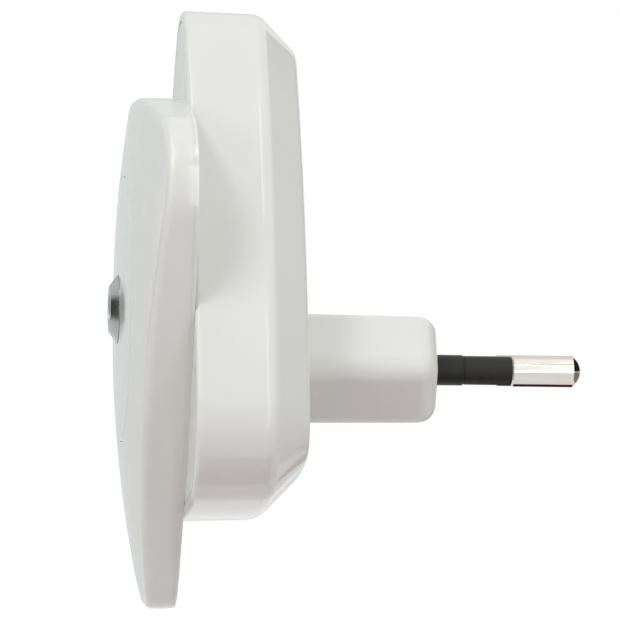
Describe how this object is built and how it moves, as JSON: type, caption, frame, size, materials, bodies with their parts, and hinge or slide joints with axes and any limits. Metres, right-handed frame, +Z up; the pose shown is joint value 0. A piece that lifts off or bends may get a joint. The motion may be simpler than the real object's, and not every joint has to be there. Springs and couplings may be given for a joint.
{
  "type": "plug-in night light",
  "caption": "Plug-in night light: domed triangular diffuser over a triangular box turned the other way, a round lens with a light sensor, and a flat two-pin plug behind.",
  "frame": {"origin": "middle of the plug face, between the two pins", "axes": "+X across the light, +Y towards the wall along the plug, +Z up"},
  "size_m": [0.0694, 0.0599, 0.0768],
  "materials": {
    "housing_white": "smooth moulded white plastic with a soft gloss",
    "diffuser_white": "milky white translucent plastic, smooth",
    "lens_white": "milky translucent plastic, high gloss",
    "bezel_chrome": "bright plated, turned faces",
    "window_smoked": "smoked clear plastic",
    "black_plastic": "moulded black",
    "white_board": "white solder mask",
    "led_body": "white body with yellow phosphor",
    "screw_steel": "zinc plated",
    "green_board": "green solder mask",
    "strip_brass": "plain brass strip",
    "capacitor_yellow": "moulded box",
    "capacitor_sleeve": "can in a dark shrink sleeve",
    "resistor_green": "flameproof lacquer",
    "chip_ceramic": "chip parts with tinned ends",
    "pin_nickel": "nickel plated, polished",
    "sleeve_black": "moulded black sleeve, fine matt grain",
    "holder_grey": "moulded"
  },
  "bodies": {
    "root": {"back_housing": "housing_white", "bridge_rectifier": "black_plastic", "chip_resistors": "chip_ceramic", "contact_strip_left": "strip_brass", "contact_strip_right": "strip_brass", "control_chip": "black_plastic", "diffuser_back": "diffuser_white", "diffuser_cover": "diffuser_white", "driver_board": "green_board", "driver_board_screws": "screw_steel", "film_capacitor": "capacitor_yellow", "front_panel": "housing_white", "fuse_resistor": "resistor_green", "housing_screws": "screw_steel", "led_board": "white_board", "led_board_screws": "screw_steel", "leds": "led_body", "lens_disc": "lens_white", "light_sensor": "window_smoked", "link_header": "black_plastic", "link_pins": "strip_brass", "pin_holder": "holder_grey", "pin_holder_screw": "screw_steel", "pin_left": "pin_nickel", "pin_right": "pin_nickel", "pin_sleeve_left": "sleeve_black", "pin_sleeve_right": "sleeve_black", "plate_screws": "screw_steel", "sensor_bezel": "bezel_chrome", "sensor_shroud": "black_plastic", "sensor_window": "window_smoked", "smoothing_capacitor": "capacitor_sleeve"}
  },
  "joints": []
}
